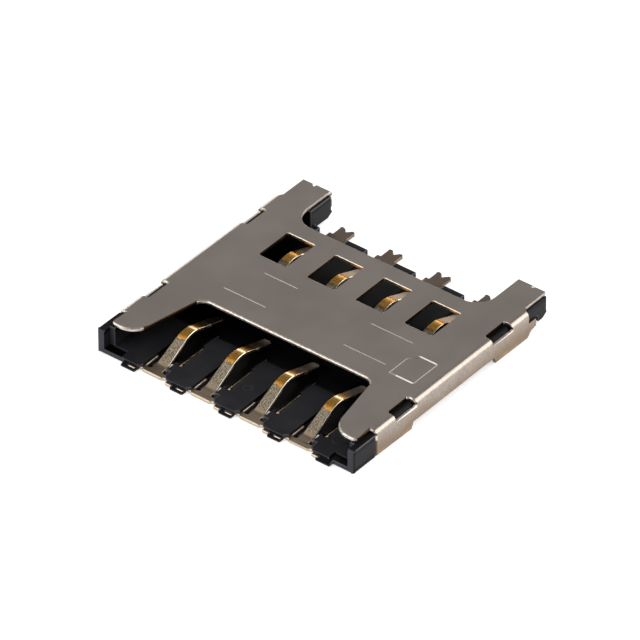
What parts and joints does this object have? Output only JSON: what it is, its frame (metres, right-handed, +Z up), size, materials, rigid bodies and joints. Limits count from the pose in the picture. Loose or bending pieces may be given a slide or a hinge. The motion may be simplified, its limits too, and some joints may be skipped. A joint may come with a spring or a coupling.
{
  "type": "sim card socket",
  "caption": "Low flat board connector for a small chip card: folded metal cover over a black insulating body with sprung contacts, open in front for the card.",
  "frame": {"origin": "middle of the footprint, on the board plane", "axes": "+Z up from the board, +Y the way the card goes in, +X across the card to the right when looking in at the card entry"},
  "size_m": [0.0134, 0.0136, 0.0013],
  "materials": {
    "housing": "fine moulded matte",
    "shell": "satin rolled sheet",
    "contact": "plated, gold on the sprung part"
  },
  "bodies": {
    "root": {"housing": "housing", "shell": "shell", "front_contact_1": "contact", "front_contact_2": "contact", "front_contact_3": "contact", "front_contact_4": "contact", "rear_contact_1": "contact", "rear_contact_2": "contact", "rear_contact_3": "contact", "rear_contact_4": "contact"}
  },
  "joints": []
}
